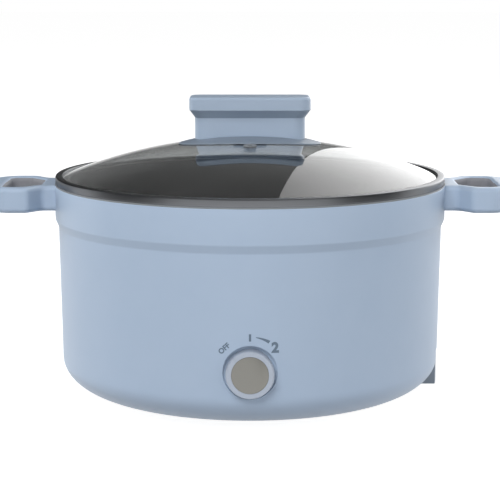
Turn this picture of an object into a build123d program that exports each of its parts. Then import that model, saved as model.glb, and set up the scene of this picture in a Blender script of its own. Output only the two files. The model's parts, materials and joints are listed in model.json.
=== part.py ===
from build123d import *
from math import asin, cos, degrees, radians, sin, sqrt, tan
import os

os.makedirs("parts", exist_ok=True)

# Electric hot pot with a lift-off glass lid.  Millimetres, +Z up.  The origin is on the
# table under the middle of the pot, the control knob faces -Y and the handles point along X.

# ------------------------------------------------------------------ driving sizes
# Fits
seat_gap = 0.3            # lid resting on the pan, knob over its recess floor
slip_gap = 0.1            # pieces that drop into one another
shaft_gap = 0.06          # turning shaft in its bushing, all round

# Casing
foot_height = 4.0         # table to the lower edge of the casing
shell_height = 159.4      # lower edge of the casing to its rim
rim_past_lid = 0.4        # upper band past the edge of the lid
band_height = 26.0        # upper band, rim to the step
step_height = 6.0
step_depth = 2.5          # how far the wall draws in at the step
wall_draft = 1.6          # how far the wall draws in from the step to the lower corner
corner_depth = 37.0       # lower corner, an ellipse quarter: how far in it reaches
corner_height = 25.0      # and how high
shell_wall = 2.8
step_round = 3.0
rim_round = 1.0
lip_width = 14.0          # inward lip at the bottom that takes the cover
boss_inset = 8.3          # outer edge of that lip to the middle of its screw bosses
boss_radius = 4.5
boss_height = 10.7
thread_share = 0.8        # of the depth of a boss or a lip, taken up by its screw

# Pan
gasket_height = 0.8
flange_height = 2.0
flange_round = 0.8
flange_overhang = 0.8     # casing rim past the pan flange
rim_clearance = 1.0       # pan to the opening in the casing rim
pan_wall = 2.5
pan_floor = 4.5
mouth_inset = 9.0         # edge of the lid to the mouth of the pan
pan_taper = 4.0           # how far the wall draws in down to the floor
pan_corner = 24.0
cooking_floor = 72.5      # above the table
pan_boss_radius = 4.5
shield_boss_gap = 22.0    # thermostat and fuse to the bosses that carry the shield
bracket_boss_inset = 12.0  # end of the raised middle of the strap to the bosses that carry it
blind_floor = 1.0         # metal left over a blind screw hole

# Element, shield and bracket
heater_inset = 53.0       # mouth of the pan to the middle of the ring
sheath_radius = 4.0
braze_depth = 1.0         # how far the sheath is flattened against the floor
heater_gap_angle = 36.0   # open part of the ring
heater_gap_middle = -45.0  # its direction, seen from above
cold_end_radius = 3.0
cold_end_length = 13.0
cold_pin_radius = 1.5
cold_pin_length = 9.0
bead_radius = 5.0
bead_height = 5.0
shield_drop = 22.0        # pan floor to the shield
shield_past_heater = 8.0
shield_sheet = 0.8
shield_rim = 9.0
shield_hole_radius = 8.0  # round each cold end
wire_hole_radius = 3.5
bracket_sheet = 1.5
bracket_width = 22.0
bracket_run = 24.0        # level distance over which the strap comes down
bracket_foot = 15.0       # level foot of the strap on the inner side of its screw
bracket_foot_past = 8.0   # and on the outer side

# Thermostat and fuse
sensor_spread = 28.0      # thermostat and fuse, each from the middle of the pan
thermostat_radius = 8.5
thermostat_height = 9.0
thermostat_ear_reach = 16.0
thermostat_ear_width = 9.0
thermostat_ear_sheet = 1.2
fuse_radius = 2.0
fuse_length = 16.0
fuse_lead = 10.0          # straight lead at each end of the fuse
clip_sheet = 0.8
clip_width = 8.0

# Control knob, its recess and the switch behind it
dial_height = 46.3        # axis above the table
recess_radius = 20.0
recess_setback = 3.2      # casing surface to the recess floor, on the axis
recess_floor = 2.5
recess_land = 0.8         # how far the pad of the recess stands forward of its floor
knob_radius = 17.2
knob_proud = 5.4          # front face in front of the casing surface
knob_edge = 1.2
cap_radius = 13.2
cap_height = 1.4
cap_proud = 0.2
mark_length = 2.6         # groove in the rim of the knob that points at the setting
mark_width = 1.1
mark_depth = 0.5
mark_angle = 45.0         # from the top towards the left, at OFF
shaft_radius = 3.0
shaft_flat = 0.8          # depth of the flat of the D
shaft_in_knob = 5.0
shaft_in_switch = 9.0
bushing_radius = 4.5
switch_width = 28.0
switch_tall = 26.0
switch_deep = 18.0
switch_screw_reach = 10.0
blade_width = 6.3
blade_sheet = 0.8
blade_length = 8.0
blade_pitch = 9.0

# Handles
handle_top_drop = 0.0     # casing rim to the top of the handle
handle_thickness = 19.6
handle_length = 54.6      # casing wall to the end of the handle
handle_overlap = 18.9     # of the root with the casing, before it is trimmed to the wall
handle_root_half = 27.0
handle_root_length = 7.6  # straight root before the handle widens
handle_half = 40.0
handle_flare_length = 10.0
handle_corner = 25.0
handle_bend = 7.0
handle_rim = 10.5         # beside the finger gap
handle_end_wall = 16.5    # beyond the finger gap
finger_start = 11.1       # casing wall to the finger gap
finger_corner = 6.0
handle_round = 4.0
handle_screw_spread = 14.0
handle_screw_length = 9.0  # past the casing wall

# Power inlet
inlet_half = 30.0
inlet_bottom = 9.6        # above the table
inlet_top = 36.0
inlet_depth = 33.9        # face to back of the housing
inlet_setback = 0.4       # casing surface to the face of the housing
socket_half = 19.0
socket_bottom = 13.0
socket_top = 32.0
socket_corner = 5.0
socket_back = 8.0
tongue_reach = 16.0
inlet_screw_inset = 11.0  # back of the housing to its screws
tongue_height = 2.2
pin_radius = 2.4
pin_out = 16.0            # in the socket
pin_in = 8.0              # behind the housing
pin_pitch = 12.0

# Bottom cover, feet
cover_height = 2.4
cover_edge_gap = 0.3
vent_width = 3.0
vent_ring_radius = 30.0   # innermost ring of slots
vent_ring_step = 14.0
vent_ring_count = 3
vent_arc = 24.0
vents_in_ring = 8
foot_radius = 8.0
foot_inset = 17.0         # screw bosses to the feet, towards the middle
foot_plug_radius = 4.0
foot_plug_height = 5.0

# Screws
m3_radius = 1.5
m4_radius = 2.0
head_ratio = 1.9          # head radius over shank radius
head_height_ratio = 1.1   # head height over shank radius
head_rounding = 0.4       # of the head height, rounded off

# Lid
lid_radius = 150.0
ring_height = 3.5
ring_round = 1.0
ring_band = 5.5           # width of the top of the ring
ring_sheet = 0.5          # ring under the edge of the glass
skirt_wall = 1.2
skirt_depth = 8.0
skirt_gap = 1.0           # skirt to the pan wall
dome_rise = 26.6          # top of the ring to the top of the glass
glass_sink = 1.7          # top of the ring to the glass, where they meet
glass_thickness = 4.0
glass_hold = 0.8          # edge of the glass under the lip of the ring
vent_place = 37.0
vent_radius = 3.4
eyelet_radius = 4.9
eyelet_bore = 2.2
eyelet_sheet = 0.7

# Lid knob
base_half_long = 55.0
base_half_wide = 31.0
base_thickness = 3.0
base_round = 1.2
pedestal_rise = 0.2       # foot of the grip above the crown of the base
neck_half_long = 42.3
neck_half_wide = 12.0
neck_corner = 9.0
neck_waist = 1.6          # how far the long faces of the neck are hollowed
neck_height = 13.6
bar_half_long = 46.5
bar_half_wide = 17.0
bar_corner = 9.0
flare_height = 6.3
bar_height = 9.9
bar_round = 2.2
lid_screw_radius = 2.5
lid_screw_thread = 12.0
lid_screw_room = 2.0      # hole in the grip past the end of the screw
washer_radius = 13.0
washer_height = 1.2
pad_height = 1.6
gasket_radius = 18.0

# Wiring
wire_radius = 1.3
wire_start = 14.0         # straight run off a pin
blade_start = 10.4        # straight run off a blade of the switch
loom_inset = 9.0          # screw bosses to the middle of the loom, towards the pot axis
loom_low = 27.0           # heights above the table at which the wires run
loom_high = 31.0
loom_top = 35.0
earth_tuck = 0.8          # of the reach of the loom, where the earth wire first turns
bend_share = 0.45         # of the shorter of two runs that the bend between them may take

# ------------------------------------------------------------------ worked-out sizes
shell_bottom = foot_height
rim_radius = lid_radius + rim_past_lid
rim_top = shell_bottom + shell_height
step_top = rim_top - band_height
step_bottom = step_top - step_height
waist_radius = rim_radius - step_depth
base_radius = waist_radius - wall_draft
corner_top = shell_bottom + corner_height
corner_start = base_radius - corner_depth
boss_ring_radius = corner_start - boss_inset
cover_top = shell_bottom + cover_height + slip_gap
lip_top = cover_top + shell_wall
lip_inner = boss_ring_radius - lip_width / 2
boss_top = lip_top + boss_height

flange_bottom = rim_top + gasket_height
pan_top = flange_bottom + flange_height
pan_inner_radius = lid_radius - mouth_inset
pan_underside = cooking_floor - pan_floor
pan_outer_radius = pan_inner_radius + pan_wall
flange_radius = rim_radius - flange_overhang
rim_hole_radius = pan_outer_radius + rim_clearance
heater_radius = pan_inner_radius - heater_inset
shield_radius = heater_radius + shield_past_heater
shield_top = pan_underside - shield_drop
bracket_top = shield_top - shield_sheet
bracket_foot_start = boss_ring_radius - bracket_foot
bracket_flat = bracket_foot_start - bracket_run
bracket_foot_end = boss_ring_radius + bracket_foot_past
bracket_boss_reach = bracket_flat - bracket_boss_inset
bracket_bosses = [(0, bracket_boss_reach), (0, -bracket_boss_reach)]
shield_boss_reach = sensor_spread + shield_boss_gap
shield_bosses = [(shield_boss_reach, 0), (-shield_boss_reach, 0)]
thermostat_place = (-sensor_spread, 0)
fuse_place = (sensor_spread, 0)

dial_surface = base_radius + wall_draft * (dial_height - corner_top) / (step_bottom - corner_top)
recess_face = dial_surface - recess_setback
switch_face = recess_face - recess_floor
knob_back = recess_face + seat_gap
knob_front = dial_surface + knob_proud
cap_seat = knob_front + cap_proud - cap_height

handle_top = rim_top - handle_top_drop
handle_bottom = handle_top - handle_thickness
handle_middle = (handle_top + handle_bottom) / 2
handle_inner_end = rim_radius - handle_overlap
handle_root_reach = rim_radius + handle_root_length
handle_shoulder = handle_root_reach + handle_flare_length
handle_reach = rim_radius + handle_length
finger_inner = rim_radius + finger_start
finger_outer = handle_reach - handle_end_wall
finger_half = handle_half - handle_rim

inlet_face = base_radius - inlet_setback
inlet_inner = inlet_face - inlet_depth
inlet_screw_reach = inlet_inner - inlet_screw_inset
inlet_screw_side = inlet_half - tongue_reach / 2
foot_ring_radius = boss_ring_radius - foot_inset

ring_bottom = pan_top + seat_gap
ring_top = ring_bottom + ring_height
ring_lip_radius = lid_radius - ring_band
dome_top = ring_top + dome_rise
dome_crown = dome_rise + glass_sink
dome_radius = (ring_lip_radius**2 + dome_crown**2) / (2 * dome_crown)
dome_centre = dome_top - dome_radius
skirt_radius = pan_inner_radius - skirt_gap
skirt_inner = skirt_radius - skirt_wall
glass_edge = ring_lip_radius + glass_hold
glass_seat = ring_bottom + ring_sheet
grip_foot = dome_top + base_thickness + pedestal_rise

head_m3 = m3_radius * head_ratio
head_m4 = m4_radius * head_ratio
head_height_m3 = m3_radius * head_height_ratio
head_height_m4 = m4_radius * head_height_ratio


def write(piece, name):
    """Label a finished piece and write it under its own name."""
    piece.part.label = name
    export_step(piece.part, f"parts/{name}.step")


def sphere_height(radius, reach):
    """Height of a ball surface about the dome centre, at a distance from the pot axis."""
    return dome_centre + sqrt(radius**2 - reach**2)


def screw(plane, shank_radius, head_radius, head_height, shank_length):
    """Pan-head screw whose head sits on a plane, with the shank below it."""
    with BuildPart(plane) as made:
        Cylinder(head_radius, head_height, align=(Align.CENTER, Align.CENTER, Align.MIN))
        fillet(made.faces().sort_by(Axis(plane.origin, plane.z_dir))[-1].edges(), head_height * head_rounding)
        Cylinder(shank_radius, shank_length, align=(Align.CENTER, Align.CENTER, Align.MAX))
    return made.part


def around(radius, angle, height):
    """Point on a circle about the pot axis."""
    return (radius * cos(radians(angle)), radius * sin(radians(angle)), height)


def upright(angle):
    """Plane through the pot axis, with its local x outwards at an angle and its local y up."""
    outwards = around(1, angle, 0)
    return Plane((0, 0, 0), x_dir=outwards, z_dir=(outwards[1], -outwards[0], 0))


# ------------------------------------------------------------------ casing
# Wall of revolution: elliptical lower corner, drafted wall, step, straight upper band.
with BuildPart() as outer_shell:
    with BuildSketch(Plane.XZ):
        with BuildLine():
            outside = EllipticalCenterArc(
                (corner_start, corner_top), corner_depth, corner_height, 270, arc_size=90
            )
            side = FilletPolyline(
                outside @ 1,
                (waist_radius, step_bottom),
                (rim_radius, step_top),
                (rim_radius, rim_top - rim_round),
                radius=step_round,
            )
            edge = RadiusArc(side @ 1, (rim_radius - rim_round, rim_top), -rim_round)
            rim = Polyline(
                edge @ 1,
                (rim_hole_radius, rim_top),
                (rim_hole_radius, rim_top - shell_wall),
                (rim_radius - shell_wall, rim_top - shell_wall),
            )
            inner_side = FilletPolyline(
                rim @ 1,
                (rim_radius - shell_wall, step_top),
                (waist_radius - shell_wall, step_bottom),
                (base_radius - shell_wall, corner_top),
                radius=step_round,
            )
            inside = EllipticalCenterArc(
                (corner_start, corner_top),
                corner_depth - shell_wall,
                corner_height - shell_wall,
                0,
                arc_size=-90,
            )
            Line(inside @ 1, outside @ 0)
        make_face()
        # lip that the bottom cover screws to, stepped up by the thickness of the cover
        with BuildLine():
            Polyline(
                (lip_inner, cover_top),
                (corner_start - shell_wall, cover_top),
                (corner_start - shell_wall, shell_bottom),
                (corner_start, shell_bottom),
                (corner_start, lip_top),
                (lip_inner, lip_top),
                close=True,
            )
        make_face()
    revolve(axis=Axis.Z)

    # bosses: four for the cover screws between the axes, two for the bracket on the Y axis
    with BuildSketch(Plane.XY.offset(lip_top)):
        with PolarLocations(boss_ring_radius, 4, start_angle=45):
            Circle(boss_radius)
        with PolarLocations(boss_ring_radius, 2, start_angle=90):
            Circle(boss_radius)
    extrude(amount=boss_height)
    with BuildSketch(Plane.XY.offset(cover_top)):
        with PolarLocations(boss_ring_radius, 4, start_angle=45):
            Circle(m3_radius)
    extrude(amount=boss_height, mode=Mode.SUBTRACT)
    with BuildSketch(Plane.XY.offset(boss_top)):
        with PolarLocations(boss_ring_radius, 2, start_angle=90):
            Circle(m3_radius)
    extrude(amount=-boss_height, mode=Mode.SUBTRACT)

    # round dish that the control knob stands in
    with BuildSketch(Plane.XZ.offset(switch_face)):
        with Locations((0, dial_height)):
            Circle(recess_radius + recess_floor)
    extrude(amount=recess_floor + recess_land)
    with BuildSketch(Plane.XZ.offset(recess_face)):
        with Locations((0, dial_height)):
            Circle(recess_radius)
    extrude(amount=2 * recess_setback, mode=Mode.SUBTRACT)
    with BuildSketch(Plane.XZ.offset(switch_face)):
        with Locations((0, dial_height)):
            Circle(bushing_radius + slip_gap)
        with Locations((-switch_screw_reach, dial_height), (switch_screw_reach, dial_height)):
            Circle(m3_radius + slip_gap)
    extrude(amount=recess_floor, mode=Mode.SUBTRACT)
    with BuildSketch(Plane.XZ.offset(recess_face - head_height_m3)):
        with Locations((-switch_screw_reach, dial_height), (switch_screw_reach, dial_height)):
            Circle(head_m3 + slip_gap)
    extrude(amount=head_height_m3, mode=Mode.SUBTRACT)

    # window for the power inlet
    with BuildSketch(Plane.XY):
        with Locations((inlet_inner, 0)):
            Rectangle(rim_radius, 2 * (inlet_half + slip_gap), align=(Align.MIN, Align.CENTER))
    extrude(amount=inlet_top + slip_gap, mode=Mode.SUBTRACT)
    with BuildSketch(Plane.XY.offset(lip_top)):
        with Locations(
            (inlet_screw_reach, -inlet_screw_side),
            (inlet_screw_reach, inlet_screw_side),
        ):
            Circle(m3_radius)
    extrude(amount=-shell_wall, mode=Mode.SUBTRACT)

    # holes for the handle screws, through the upper band on both sides
    with BuildSketch(Plane.YZ):
        with Locations((-handle_screw_spread, handle_middle), (handle_screw_spread, handle_middle)):
            Circle(m4_radius + slip_gap)
    extrude(amount=rim_radius, both=True, mode=Mode.SUBTRACT)
write(outer_shell, "outer_shell")

# ------------------------------------------------------------------ handles
with BuildPart() as handle_right:
    with BuildSketch(Plane.XY.offset(handle_bottom)):
        with BuildLine():
            arm = FilletPolyline(
                (handle_inner_end, handle_root_half),
                (handle_root_reach, handle_root_half),
                (handle_shoulder, handle_half),
                (handle_reach, handle_half),
                (handle_reach, 0),
                radius=[handle_bend, handle_bend, handle_corner],
            )
            mirror(about=Plane.XZ)
            Line(arm @ 0, (handle_inner_end, -handle_root_half))
        make_face()
        with BuildLine():
            FilletPolyline(
                (finger_inner, 0),
                (finger_inner, handle_root_half - handle_rim),
                (handle_shoulder + handle_rim / 2, finger_half),
                (finger_outer, finger_half),
                (finger_outer, 0),
                radius=finger_corner,
            )
            mirror(about=Plane.XZ)
        make_face(mode=Mode.SUBTRACT)
    extrude(amount=handle_thickness)
    fillet(
        faces().filter_by(Axis.Z).edges().filter_by(lambda e: e.center().X > handle_inner_end + handle_round),
        handle_round,
    )
    with BuildSketch(Plane.XY.offset(handle_bottom)):
        Circle(rim_radius)
    extrude(amount=handle_thickness, mode=Mode.SUBTRACT)
    with BuildSketch(Plane.YZ.offset(rim_radius - handle_screw_length)):
        with Locations((-handle_screw_spread, handle_middle), (handle_screw_spread, handle_middle)):
            Circle(m4_radius)
    extrude(amount=2 * handle_screw_length, mode=Mode.SUBTRACT)
write(handle_right, "handle_right")
with BuildPart() as handle_left:
    add(mirror(handle_right.part, about=Plane.YZ, mode=Mode.PRIVATE))
write(handle_left, "handle_left")

# the head of each handle screw sits inside the casing, its shank reaches out into the handle
head_seat = sqrt((rim_radius - shell_wall) ** 2 - (handle_screw_spread + head_m4) ** 2)
with BuildPart() as handle_screws:
    for side_sign in (-1, 1):
        for spread in (-handle_screw_spread, handle_screw_spread):
            seat = Plane((side_sign * head_seat, spread, handle_middle), z_dir=(-side_sign, 0, 0))
            add(screw(seat, m4_radius, head_m4, head_height_m4, shell_wall + handle_screw_length))
write(handle_screws, "handle_screws")

# ------------------------------------------------------------------ pan
with BuildPart() as rim_gasket:
    with BuildSketch(Plane.XY.offset(rim_top)):
        Circle(flange_radius)
        Circle(rim_hole_radius, mode=Mode.SUBTRACT)
    extrude(amount=gasket_height)
write(rim_gasket, "rim_gasket")

thermostat_x, thermostat_y = thermostat_place
fuse_x, fuse_y = fuse_place
ear_places = [
    (thermostat_x, thermostat_y - thermostat_ear_reach),
    (thermostat_x, thermostat_y + thermostat_ear_reach),
]
clip_screw_place = (fuse_x + clip_width, fuse_y)
with BuildPart() as inner_pot:
    with BuildSketch(Plane.XZ):
        with BuildLine():
            under = FilletPolyline(
                (0, pan_underside),
                (pan_outer_radius - pan_taper, pan_underside),
                (pan_outer_radius, flange_bottom),
                radius=pan_corner + pan_wall,
            )
            flange = Polyline(
                under @ 1,
                (flange_radius, flange_bottom),
                (flange_radius, pan_top),
                (pan_inner_radius, pan_top),
            )
            bowl = FilletPolyline(
                flange @ 1,
                (pan_inner_radius - pan_taper, cooking_floor),
                (0, cooking_floor),
                radius=pan_corner,
            )
            Line(bowl @ 1, under @ 0)
        make_face()
    revolve(axis=Axis.Z)
    fillet(
        edges().filter_by(GeomType.CIRCLE).group_by(Axis.Z)[-1],
        flange_round,
    )
    with BuildSketch(Plane.XY.offset(pan_underside)):
        with Locations(*shield_bosses, *bracket_bosses):
            Circle(pan_boss_radius)
    extrude(amount=-shield_drop)
    with BuildSketch(Plane.XY.offset(shield_top)):
        with Locations(*shield_bosses, *bracket_bosses):
            Circle(m4_radius)
    extrude(amount=shield_drop, mode=Mode.SUBTRACT)
    with BuildSketch(Plane.XY.offset(pan_underside)):
        with Locations(*ear_places, clip_screw_place):
            Circle(m3_radius)
    extrude(amount=pan_floor - blind_floor, mode=Mode.SUBTRACT)
write(inner_pot, "inner_pot")

# ------------------------------------------------------------------ heating element
ring_start = heater_gap_middle + heater_gap_angle / 2
ring_end = heater_gap_middle - heater_gap_angle / 2
sheath_axis = pan_underside - sheath_radius + braze_depth
cold_end_bottom = sheath_axis - cold_end_length
cold_places = [around(heater_radius, angle, 0)[:2] for angle in (ring_start, ring_end)]
blade_places = [
    (thermostat_x - thermostat_radius, thermostat_y),
    (thermostat_x + thermostat_radius, thermostat_y),
]
lead_reach = fuse_length / 2 + fuse_lead
lead_places = [(fuse_x, fuse_y - lead_reach), (fuse_x, fuse_y + lead_reach)]
with BuildPart() as heating_element:
    with BuildSketch(upright(ring_start)):
        with Locations((heater_radius, sheath_axis)):
            Circle(sheath_radius)
        with Locations((heater_radius, pan_underside)):
            Rectangle(
                3 * sheath_radius,
                2 * sheath_radius,
                align=(Align.CENTER, Align.MIN),
                mode=Mode.SUBTRACT,
            )
    revolve(axis=Axis.Z, revolution_arc=360 - heater_gap_angle)
    with BuildSketch(Plane.XY.offset(sheath_axis)):
        with Locations(*cold_places):
            Circle(cold_end_radius)
    extrude(amount=-cold_end_length)
    with BuildSketch(Plane.XY.offset(cold_end_bottom)):
        with Locations(*cold_places):
            Circle(cold_pin_radius)
    extrude(amount=-cold_pin_length)
write(heating_element, "heating_element")

with BuildPart() as terminal_beads:
    with BuildSketch(Plane.XY.offset(cold_end_bottom)):
        with Locations(*cold_places):
            Circle(bead_radius)
            Circle(cold_end_radius, mode=Mode.SUBTRACT)
    extrude(amount=bead_height)
    rims = edges().filter_by(GeomType.CIRCLE)
    fillet(rims.filter_by(lambda e: e.radius > cold_end_radius + slip_gap), bead_height / 5)
write(terminal_beads, "terminal_beads")

with BuildPart() as heat_shield:
    with BuildSketch(Plane.XZ):
        with BuildLine():
            FilletPolyline(
                (0, shield_top - shield_sheet / 2),
                (shield_radius, shield_top - shield_sheet / 2),
                (shield_radius + shield_rim / 3, shield_top + shield_rim),
                radius=4 * shield_sheet,
            )
        trace(line_width=shield_sheet)
    revolve(axis=Axis.Z)
    with BuildSketch(Plane.XY.offset(shield_top)):
        with Locations(*cold_places):
            Circle(shield_hole_radius)
        with Locations(*blade_places, *lead_places):
            Circle(wire_hole_radius)
        with Locations(*shield_bosses, *bracket_bosses):
            Circle(m4_radius + slip_gap)
    extrude(amount=-2 * shield_sheet, both=True, mode=Mode.SUBTRACT)
write(heat_shield, "heat_shield")

# strap from boss to boss of the casing, raised in the middle to meet the pan
foot_line = boss_top + bracket_sheet / 2
strap_line = bracket_top - bracket_sheet / 2
with BuildPart() as pan_bracket:
    with BuildSketch(Plane.YZ):
        with BuildLine():
            FilletPolyline(
                (-bracket_foot_end, foot_line),
                (-bracket_foot_start, foot_line),
                (-bracket_flat, strap_line),
                (bracket_flat, strap_line),
                (bracket_foot_start, foot_line),
                (bracket_foot_end, foot_line),
                radius=3 * bracket_sheet,
            )
        trace(line_width=bracket_sheet)
    extrude(amount=bracket_width / 2, both=True)
    with BuildSketch(Plane.XY.offset(boss_top)):
        with PolarLocations(boss_ring_radius, 2, start_angle=90):
            Circle(m3_radius + slip_gap)
        with Locations(*bracket_bosses):
            Circle(m4_radius + slip_gap)
    extrude(amount=bracket_top - boss_top, mode=Mode.SUBTRACT)
write(pan_bracket, "pan_bracket")

with BuildPart() as pan_screws:
    for place in shield_bosses:
        seat = Plane((*place, shield_top - shield_sheet), z_dir=(0, 0, -1))
        add(screw(seat, m4_radius, head_m4, head_height_m4, shield_drop / 2))
    for place in bracket_bosses:
        seat = Plane((*place, bracket_top - bracket_sheet), z_dir=(0, 0, -1))
        add(screw(seat, m4_radius, head_m4, head_height_m4, shield_drop / 2))
write(pan_screws, "pan_screws")

with BuildPart() as bracket_screws:
    for angle in (90, 270):
        seat = Plane(around(boss_ring_radius, angle, boss_top + bracket_sheet))
        add(screw(seat, m3_radius, head_m3, head_height_m3, boss_height * thread_share))
write(bracket_screws, "bracket_screws")

# ------------------------------------------------------------------ thermostat and fuse
with BuildPart() as thermostat:
    with BuildSketch(Plane.XY.offset(pan_underside)):
        with Locations(thermostat_place):
            Circle(thermostat_radius)
    extrude(amount=-thermostat_height)
    with BuildSketch(Plane.XY.offset(pan_underside)):
        with Locations(thermostat_place):
            SlotCenterToCenter(2 * thermostat_ear_reach, thermostat_ear_width, rotation=90)
        with Locations(*ear_places):
            Circle(m3_radius + slip_gap, mode=Mode.SUBTRACT)
    extrude(amount=-thermostat_ear_sheet)
    with BuildSketch(Plane.XY.offset(pan_underside - thermostat_ear_sheet)):
        with Locations(*blade_places):
            Rectangle(blade_sheet, blade_width)
    extrude(amount=thermostat_ear_sheet - thermostat_height - blade_length)
write(thermostat, "thermostat")

fuse_line = pan_underside - fuse_radius
with BuildPart() as thermal_fuse:
    with BuildSketch(Plane.XZ.offset(-fuse_y)):
        with Locations((fuse_x, fuse_line)):
            Circle(fuse_radius)
    extrude(amount=fuse_length / 2, both=True)
    fillet(edges().filter_by(GeomType.CIRCLE), fuse_radius / 4)
write(thermal_fuse, "thermal_fuse")

clip_half = fuse_radius + slip_gap + clip_sheet / 2
clip_line = pan_underside - clip_sheet / 2
clip_low = pan_underside - 2 * fuse_radius - slip_gap - clip_sheet / 2
with BuildPart() as fuse_clip:
    with BuildSketch(Plane.XZ.offset(-fuse_y)):
        with BuildLine():
            Polyline(
                (fuse_x - clip_half, clip_line),
                (fuse_x - clip_half, clip_low),
                (fuse_x + clip_half, clip_low),
                (fuse_x + clip_half, clip_line),
                (clip_screw_place[0] + clip_width / 2, clip_line),
            )
        trace(line_width=clip_sheet)
    extrude(amount=clip_width / 2, both=True)
    with BuildSketch(Plane.XY.offset(pan_underside)):
        with Locations(clip_screw_place):
            Circle(m3_radius + slip_gap)
    extrude(amount=-clip_sheet, mode=Mode.SUBTRACT)
write(fuse_clip, "fuse_clip")

with BuildPart() as sensor_screws:
    held = [(place, thermostat_ear_sheet) for place in ear_places] + [(clip_screw_place, clip_sheet)]
    for place, sheet in held:
        seat = Plane((place[0], place[1], pan_underside - sheet), z_dir=(0, 0, -1))
        add(screw(seat, m3_radius, head_m3, head_height_m3, sheet + pan_floor / 2))
write(sensor_screws, "sensor_screws")

# ------------------------------------------------------------------ switch
switch_back = switch_face - switch_deep
with BuildPart() as rotary_switch:
    with BuildSketch(Plane.XZ.offset(switch_back)):
        with Locations((0, dial_height)):
            RectangleRounded(switch_width, switch_tall, 2)
    extrude(amount=switch_deep)
    with BuildSketch(Plane.XZ.offset(switch_face)):
        with Locations((0, dial_height)):
            Circle(shaft_radius + shaft_gap)
    extrude(amount=-shaft_in_switch, mode=Mode.SUBTRACT)
    with BuildSketch(Plane.XZ.offset(switch_face)):
        with Locations((-switch_screw_reach, dial_height), (switch_screw_reach, dial_height)):
            Circle(m3_radius)
    extrude(amount=-switch_deep / 2, mode=Mode.SUBTRACT)
write(rotary_switch, "rotary_switch")

with BuildPart() as switch_bushing:
    with BuildSketch(Plane.XZ.offset(switch_face)):
        with Locations((0, dial_height)):
            Circle(bushing_radius)
            Circle(shaft_radius + shaft_gap, mode=Mode.SUBTRACT)
    extrude(amount=recess_floor)
write(switch_bushing, "switch_bushing")

with BuildPart() as switch_terminals:
    with BuildSketch(Plane.XZ.offset(switch_back)):
        with Locations((0, dial_height)):
            with GridLocations(blade_pitch, 0, 3, 1):
                Rectangle(blade_sheet, blade_width)
    extrude(amount=-blade_length)
write(switch_terminals, "switch_terminals")

with BuildPart() as switch_screws:
    for reach in (-switch_screw_reach, switch_screw_reach):
        seat = Plane((reach, head_height_m3 - recess_face, dial_height), z_dir=(0, -1, 0))
        add(screw(seat, m3_radius, head_m3, head_height_m3, switch_deep / 3))
write(switch_screws, "switch_screws")

# ------------------------------------------------------------------ control knob
with BuildPart() as knob_shaft:
    with BuildSketch(Plane.XZ.offset(switch_face - shaft_in_switch + slip_gap)):
        with Locations((0, dial_height)):
            Circle(shaft_radius)
    extrude(amount=knob_back + shaft_in_knob - (switch_face - shaft_in_switch + slip_gap))
    with BuildSketch(Plane.XZ.offset(knob_back)):
        with Locations((0, dial_height + shaft_radius - shaft_flat)):
            Rectangle(2 * shaft_radius, shaft_radius, align=(Align.CENTER, Align.MIN))
    extrude(amount=shaft_in_knob, mode=Mode.SUBTRACT)
write(knob_shaft, "knob_shaft")

hub_radius = 2 * shaft_radius
mark_radius = (knob_radius + cap_radius) / 2
mark_across = -mark_radius * sin(radians(mark_angle))
mark_up = dial_height + mark_radius * cos(radians(mark_angle))
with BuildPart() as knob_body:
    with BuildSketch(Plane.XZ.offset(knob_back)):
        with Locations((0, dial_height)):
            Circle(knob_radius)
    extrude(amount=knob_front - knob_back)
    fillet(faces().sort_by(Axis.Y)[0].edges(), knob_edge)
    with BuildSketch(Plane.XZ.offset(cap_seat)):
        with Locations((0, dial_height)):
            Circle(cap_radius + slip_gap)
    extrude(amount=cap_height, mode=Mode.SUBTRACT)
    with BuildSketch(Plane.XZ.offset(knob_front - mark_depth)):
        with Locations((mark_across, mark_up)):
            SlotOverall(mark_length, mark_width, rotation=90 + mark_angle)
    extrude(amount=mark_depth, mode=Mode.SUBTRACT)
    # hollow back with a hub round the shaft
    with BuildSketch(Plane.XZ.offset(knob_back)):
        with Locations((0, dial_height)):
            Circle(knob_radius - 1.5 * knob_edge)
            Circle(hub_radius, mode=Mode.SUBTRACT)
    extrude(amount=shaft_in_knob, mode=Mode.SUBTRACT)
    with BuildSketch(Plane.XZ.offset(knob_back)):
        with Locations((0, dial_height)):
            Circle(shaft_radius)
        with Locations((0, dial_height + shaft_radius - shaft_flat)):
            Rectangle(
                2 * shaft_radius,
                shaft_radius,
                align=(Align.CENTER, Align.MIN),
                mode=Mode.SUBTRACT,
            )
    extrude(amount=shaft_in_knob, mode=Mode.SUBTRACT)
write(knob_body, "knob_body")

with BuildPart() as knob_cap:
    with BuildSketch(Plane.XZ.offset(cap_seat)):
        with Locations((0, dial_height)):
            Circle(cap_radius)
    extrude(amount=cap_height)
    fillet(faces().sort_by(Axis.Y)[0].edges(), cap_proud)
write(knob_cap, "knob_cap")

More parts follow.
